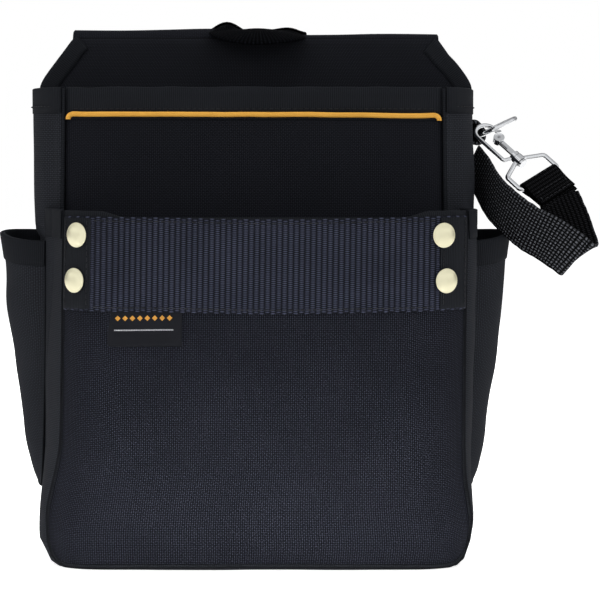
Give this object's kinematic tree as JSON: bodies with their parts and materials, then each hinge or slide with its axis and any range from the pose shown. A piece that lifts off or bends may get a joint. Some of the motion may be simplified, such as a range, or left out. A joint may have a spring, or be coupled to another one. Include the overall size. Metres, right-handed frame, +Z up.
{
  "type": "electrician tool pouch",
  "caption": "Black woven nylon waist pouch with a main and a front compartment, side pockets, belt tunnel, grab loop and a tape strap on a swivel snap hook.",
  "frame": {"origin": "middle of the flat base", "axes": "+X right seen from the front, +Y to the back where the belt runs, +Z up"},
  "size_m": [0.3412, 0.1195, 0.3021],
  "materials": {
    "nylon_cloth": "woven",
    "lining": "coated",
    "binding_tape": "ribbed",
    "webbing": "ribbed webbing",
    "strap_webbing": "webbing",
    "amber_piping": "smooth cord",
    "woven_label": "fine woven",
    "board": "matte",
    "rivet_brass": "polished",
    "chrome": "polished",
    "steel": "plain"
  },
  "bodies": {
    "pouch": {"back_binding_left": "binding_tape", "back_binding_right": "binding_tape", "back_board": "board", "back_lining": "lining", "back_panel": "nylon_cloth", "base_board": "board", "belt_flap": "nylon_cloth", "front_base": "nylon_cloth", "front_gusset_binding_left": "binding_tape", "front_gusset_binding_right": "binding_tape", "front_gusset_left": "nylon_cloth", "front_gusset_right": "nylon_cloth", "front_mouth_binding": "binding_tape", "front_panel": "nylon_cloth", "grab_loop_ends": "strap_webbing", "label": "woven_label", "main_base": "nylon_cloth", "main_gusset_binding_left": "binding_tape", "main_gusset_binding_right": "binding_tape", "main_gusset_left": "nylon_cloth", "main_gusset_right": "nylon_cloth", "main_mouth_binding": "binding_tape", "main_panel": "nylon_cloth", "piping": "amber_piping", "rivet_backs": "rivet_brass", "rivet_caps": "rivet_brass", "rivet_posts": "rivet_brass", "side_binding_left": "binding_tape", "side_binding_right": "binding_tape", "side_pocket_left": "nylon_cloth", "side_pocket_right": "nylon_cloth", "strap_anchor": "strap_webbing", "webbing_band": "webbing"},
    "grab_loop": {"grab_loop": "strap_webbing"},
    "tape_loop": {"strap_tab": "strap_webbing", "tape_strap": "strap_webbing", "strap_end": "strap_webbing"},
    "ring": {"ring": "chrome"},
    "eye": {"swivel_eye": "chrome"},
    "hook": {"hook_body": "chrome", "gate_pin": "steel", "gate_spring": "steel"},
    "gate": {"gate_lever": "chrome"}
  },
  "joints": [
    {"name": "grab_loop_lift", "type": "hinge", "parent": "pouch", "child": "grab_loop", "pos_m": [0.001, 0.0528, 0.3013], "axis": [-1, 0, 0], "range_deg": [0, 110]},
    {"name": "strap_swing", "type": "hinge", "parent": "pouch", "child": "tape_loop", "pos_m": [0.1255, 0.049, 0.222], "axis": [0, 0, 1], "range_deg": [-4, 40]},
    {"name": "ring_tilt", "type": "hinge", "parent": "tape_loop", "child": "ring", "pos_m": [0.13, 0.05, 0.2378], "axis": [0, 1, 0], "range_deg": [-15, 2]},
    {"name": "eye_tilt", "type": "hinge", "parent": "tape_loop", "child": "eye", "pos_m": [0.16287, 0.01885, 0.21315], "axis": [0.781, 0.433, 0.45], "range_deg": [-1, 0.8]},
    {"name": "hook_swivel", "type": "hinge", "parent": "eye", "child": "hook", "pos_m": [0.1345, 0.0416, 0.2405], "axis": [0.6235, -0.5, -0.601], "range_deg": [-20, 2]},
    {"name": "gate_open", "type": "hinge", "parent": "hook", "child": "gate", "pos_m": [0.14111, 0.03799, 0.23605], "axis": [-0.0352, 0.75, -0.6605], "range_deg": [0, 10], "stiffness_Nm_per_rad": 0.02, "springref_deg": -17.19}
  ]
}
